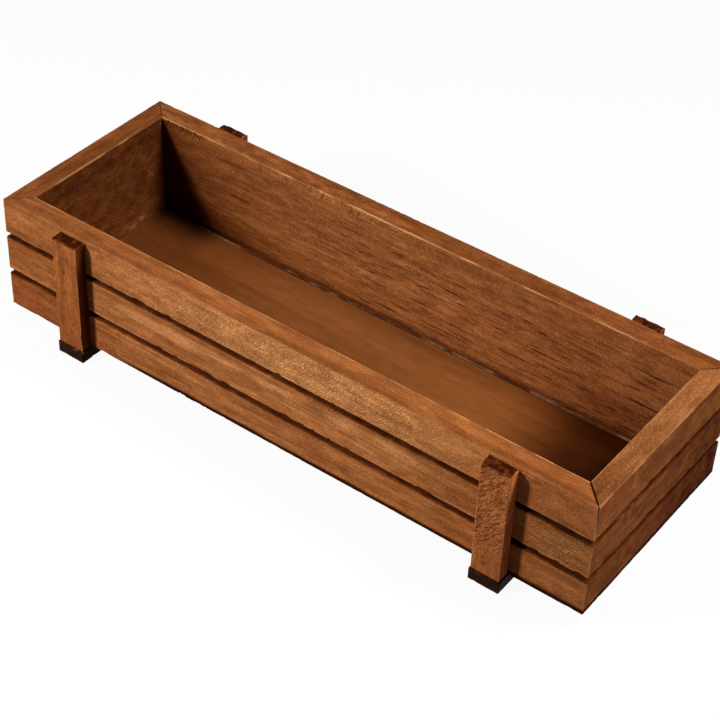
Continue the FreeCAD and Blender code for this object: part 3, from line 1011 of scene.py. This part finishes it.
# ---- battens
MOST_TORN = "batten_front_right"
# The side tones differ from the front tones to paint the light and shade on the battens' sides.
BATTEN_TONES = {"batten_front_left": (0.88, 0.55), MOST_TORN: (1.12, 1.9)}  # front, sides
OTHER_TONES = (0.75, 0.75)
BATTEN_ROUNDING = 0.9
BEVEL = 1.5  # worn front edge of a batten's top
NAIL_HEAD_RADIUS = 1.3
NAIL_DENT = 0.53  # how deep the wood is pressed in round a nail's head

# Slanting tears on a batten's front: angle in degrees, seed and weight.
BATTEN_TEARS = ((38, 22, 1.0), (62, 28, 0.8), (-35, 27, 0.6))

# Small dark marks on the fronts: place along the box, height and size.
BATTEN_MARKS = {
    "batten_front_left": ((-215, 104.7, 1.0), (-219.7, 91.7, 1.2), (-213, 38, 0.8)),
    MOST_TORN: ((216, 24, 1.3),),
}


def nail_places(front, side):
    """Middles of the nail heads in one batten, from the frame's batten nails, as x and z."""
    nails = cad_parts["batten_nails"].data.vertices
    places = np.array([v.co for v in nails]) / MM
    ours = places[(np.sign(places[:, 1]) == front) & (np.sign(places[:, 0]) == side)][:, [0, 2]]
    found = []
    for base in BASES:
        one = ours[(ours[:, 1] > base) & (ours[:, 1] < base + FACE_HEIGHT)]
        found.append(one.min(axis=0) / 2 + one.max(axis=0) / 2)
    return np.array(found)


def fine_places(places):
    """Extra vertex places round each nail's head."""
    return [place + NAIL_HEAD_RADIUS * share for place in places for share in FASTENER_SHARES]


def slanting_tears(x, z, shift):
    places, tears = np.stack([x, z, z], -1), 0.0
    for angle, seed, weight in BATTEN_TEARS:
        run, gap, _ = turned(places, -angle).T
        one = smooth(noise(run / 6.5, gap / 0.8, shift, seed), 0.25, 0.65)
        tears = np.maximum(tears, weight * one)
    return tears


class Batten:
    """The vertices of one batten before wear, and how far each one is on which side."""

    def __init__(self, end, side, seed):
        self.name = f"batten_{end}_{side}"
        self.seed, self.shift, self.front = seed, seed * 3.1, ENDS[end]
        self.low, self.high = low, high = node_box(self.name)
        self.most_torn = self.name == MOST_TORN
        nails = nail_places(self.front, SIDES[side])
        extras = (fine_places(nails[:, 0]), (), fine_places(nails[:, 1]))
        steps = (0.6, 1.2, 0.6) if self.most_torn else (0.9, 1.2, 1.0)
        self.points, self.normal, self.edge, self.faces = block(
            low, high, steps, BATTEN_ROUNDING, extras)
        self.x, self.y, self.z = x, y, z = self.points.T
        across, outward, upward = self.normal.T
        facing = np.stack([np.abs(across), outward * self.front, upward])
        self.on_side, self.on_front, self.on_top = smooth(facing, 0.6, 0.9)
        self.from_front = high[1] - y if self.front > 0 else y - low[1]
        rough = smooth((z - low[2]) / (high[2] - low[2]), 0.12, 0.35)
        self.torn = self.on_front * (1.0 if self.most_torn else 0.2) * rough
        to_nail = np.min([np.hypot(x - nail_x, z - nail_z) for nail_x, nail_z in nails], axis=0)
        self.dent = self.on_front * (1 - smooth(to_nail, NAIL_HEAD_RADIUS, NAIL_HEAD_RADIUS + 0.6))
        self.tears = slanting_tears(x, z, self.shift)

    def cut(self):
        """How far the surface lies below the planed wood, in millimetres."""
        x, y, z, shift = self.x, self.y, self.z, self.shift
        fibres = unit_noise(x / 2.2, y / 2.2, z / 16 + shift, 21)
        lumps = unit_noise(x / 3.4, y / 4, z / 4.6 + shift, 23)
        chips = smooth(noise(x / 4, y / 4, z / 8 + shift, 24), 0.5, 0.85)
        end_grain = unit_noise(x / 1.6, y / 1.6, shift, 25)
        cut = 0.12 * fibres + self.torn * (0.7 * self.tears + 0.35 * lumps)
        cut = cut + 0.6 * self.edge * chips + 0.3 * self.on_top * end_grain
        return cut * (1 - self.dent) + self.dent * NAIL_DENT

    def bevel(self):
        """Wear of the top's front edge: how far the two sides are cut back together."""
        bevel = BEVEL * (1.3 + 0.6 * noise(self.x / 4, self.shift, 0.5, 29))
        bevel = bevel - self.from_front - (self.high[2] - self.z)
        if self.most_torn:
            bevel += 0.8 * np.maximum(5.5 - (self.x - self.low[0]), 0)
        return np.maximum(bevel, 0)

    def tone(self, on_top):
        front_tone, painted_side_tone = BATTEN_TONES.get(self.name, OTHER_TONES)
        if self.name == "batten_front_left":
            # Painted shade on the left batten's side, darker towards the wall.
            painted_side_tone *= 1 - 0.55 * smooth(self.from_front, 3, 9)
        end_tone = 0.1 + 0.2 * smooth(noise(self.x / 3, self.y / 3, self.shift, 30), 0.0, 0.5)
        tone = front_tone * (1 - self.on_side) + painted_side_tone * self.on_side
        tone = tone * (1 - on_top) + end_tone * on_top
        tone = tone * (1 - 0.4 * self.dent) * (1 + self.torn * (0.08 - 0.42 * self.tears))
        for mark_x, mark_z, size in BATTEN_MARKS.get(self.name, ()):
            mark = hump(np.hypot(self.x - mark_x, (self.z - mark_z) / 1.8), 0, size)
            tone *= 1 - 0.65 * mark * self.on_front
        return tone

    def looks(self, on_top):
        x, y, z, seed = self.x, self.y, self.z, self.seed
        red = 0.35 + 0.6 * self.on_side + self.torn * (0.2 + 0.5 * self.tears)
        patches = smooth(noise(x / 5, y / 5, z / 18 + self.shift, 26), -0.7, 0.3)
        wear = smooth(self.edge, 0.6, 0.95) * patches * (0.75 - 0.55 * on_top)
        wear *= np.where(x > self.low[0] + EDGE_REACH, 1, 0.35)
        return wood_looks(
            (z + seed * 53, x + seed * 7, y + seed * 19),
            (self.tone(on_top), red, wear),
            (0.2 + 0.25 * self.torn, 0.0, 0.3 - 0.1 * self.torn),
        )


def make_batten(end, side, seed):
    batten = Batten(end, side, seed)
    bevel = batten.bevel()
    on_top = np.maximum(batten.on_top, smooth(bevel, 0.0, 0.5))
    points = batten.points - batten.normal * batten.cut()[:, None]
    points = points - bevel[:, None] / 2 * np.array([0, batten.front, 1.0])
    name, faces = batten.name, batten.faces
    add_piece(name + "_wood", [name], "batten_wood", points, faces, batten.looks(on_top))


# ---- runners and floor
def make_runner(side, seed):
    node = "runner_" + side
    points, normal, edge, faces = block(*node_box(node), (1.6, 2.0, 1.4), 1.0)
    x, y, z = points.T
    shift = seed * 2.3
    fibres = unit_noise(x / 2.2, y / 15 + shift, z / 2.2, 31)
    chips = smooth(noise(x / 5, y / 6 + shift, z / 4, 32), 0.4, 0.8)
    cut = 0.12 * fibres + 0.5 * edge * chips
    wear = edge * smooth(noise(x / 4, y / 6 + shift, z / 5, 33), 0.0, 0.7) * 0.6
    grain = (y + seed * 31, x + seed * 11, z + seed * 17)
    looks = wood_looks(grain, (1.0, 0.3, wear), (0.3, 0.05, 0.3))
    points = points - normal * cut[:, None]
    add_piece(node + "_wood", [node], "dark_wood", points, faces, looks)


def make_floor_board():
    points, normal, _, faces = block(*node_box("floor_board"), (3.0, 3.0, 3.0), 0.5)
    x, y, z = points.T
    fibres = unit_noise(x / 30, y / 5, z / 5, 41)
    hollows = unit_noise(x / 60, y / 25, z / 5, 42)
    cut = 0.08 * fibres + 0.12 * hollows
    broad = noise(x / 90, y / 35, 0.5, 43)
    # Painted shadows at both ends of the floor: darker and redder towards the left wall, much darker
    # towards the right wall.
    painted_shadow_left = smooth(x, -90, -240)
    painted_shadow_right = smooth(x, 112, 208)
    tone = (1.03 + 0.08 * broad) * (1 - 0.22 * painted_shadow_left) * (1 - 0.85 * painted_shadow_right)
    red = 0.2 + 0.2 * broad + 0.5 * painted_shadow_left
    looks = wood_looks((x + 700, y + 300, z), (tone, red, 0.0), (0.05, 0.0, 0.04))
    points = points - normal * cut[:, None]
    add_piece("floor_board_wood", ["floor_board"], "floor_wood", points, faces, looks)


# ---- sealant
BEAD_LEG = 1.9
BEAD_SMEAR = 0.6  # how much wider and narrower it gets
BEAD_SUNK = 0.35  # how far its back lies inside the wall and the floor
# Painted glints round the bead's outline, strongest on its crown.
BEAD_PAINTED_GLINTS = np.array([0, 0, 0.3, 0.8, 1, 0.7, 0.3, 0])  # round its outline


def make_bead():
    """One uneven fillet round the floor, smeared wider in some places."""
    rings, looks = [], []
    angles = np.linspace(0, math.pi / 2, 5)
    for number, (wall, turn) in enumerate(WALL_TURNS.items()):
        half_run, distance = run_and_distance(turn, THICKNESS)
        shares = np.linspace(-1, 1, round(half_run))[:-1, None]
        legs = BEAD_LEG + BEAD_SMEAR * noise(shares * half_run / 9, number * 3.3, 0.5, 51)
        out = np.concatenate([[0, 1], 1 - np.sin(angles), [0]]) * legs
        up = np.concatenate([[0, 0], 1 - np.cos(angles), [1]]) * legs
        out[:, [0, -1]] = -BEAD_SUNK
        up[:, [0, 1]] = -BEAD_SUNK
        ring = np.stack([shares * (half_run - out), out - distance, FLOOR_TOP + up], -1)
        rings.append(turned(ring, turn))
        # Painted glints only along the back wall.
        painted_glint = BEAD_PAINTED_GLINTS * (wall == "back") * np.ones_like(shares)
        stained = np.full_like(painted_glint, 0.2 if wall == "back" else 0.9)
        looks.append(np.stack([painted_glint, stained, 0 * painted_glint], -1))
    points = np.concatenate(rings)
    number = np.arange(points.shape[0] * points.shape[1]).reshape(points.shape[:2])
    ahead = np.roll(number, -1, axis=0)
    quads = [number, ahead, np.roll(ahead, -1, axis=1), np.roll(number, -1, axis=1)]
    faces = np.stack(quads, -1).reshape(-1, 4)[:, ::-1].tolist()
    looks = {"look": np.concatenate(looks).reshape(-1, 3)}
    points = points.reshape(-1, 3)
    add_piece("floor_sealant_bead", ["floor_sealant"], "sealant", points, faces, looks)


# ---- pieces kept from the frame
def finish_kept(node, material):
    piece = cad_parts[node]
    piece.data.materials.clear()
    piece.data.materials.append(MATERIALS[material])


def make_kept():
    finish_kept("batten_nails", "stained_steel")
    for node in ("floor_nails", "batten_screws", "floor_screws"):
        finish_kept(node, "steel")
    for end, side in product(ENDS, SIDES):
        finish_kept(f"corner_spline_{end}_{side}", "spline_wood")


# ---- the whole scene
def make_planter():
    for wall, level in product(WALL_TURNS, range(len(LEVELS))):
        make_board(wall, level)
    for number, (end, side) in enumerate(product(ENDS, SIDES)):
        make_batten(end, side, 5 + number * 4)
    for number, side in enumerate(SIDES):
        make_runner(side, 3 + number)
    make_floor_board()
    make_bead()
    make_kept()


bpy.context.scene.view_settings.view_transform = "Standard"
make_camera()
make_lamps()
make_world()
make_floor()
make_planter()
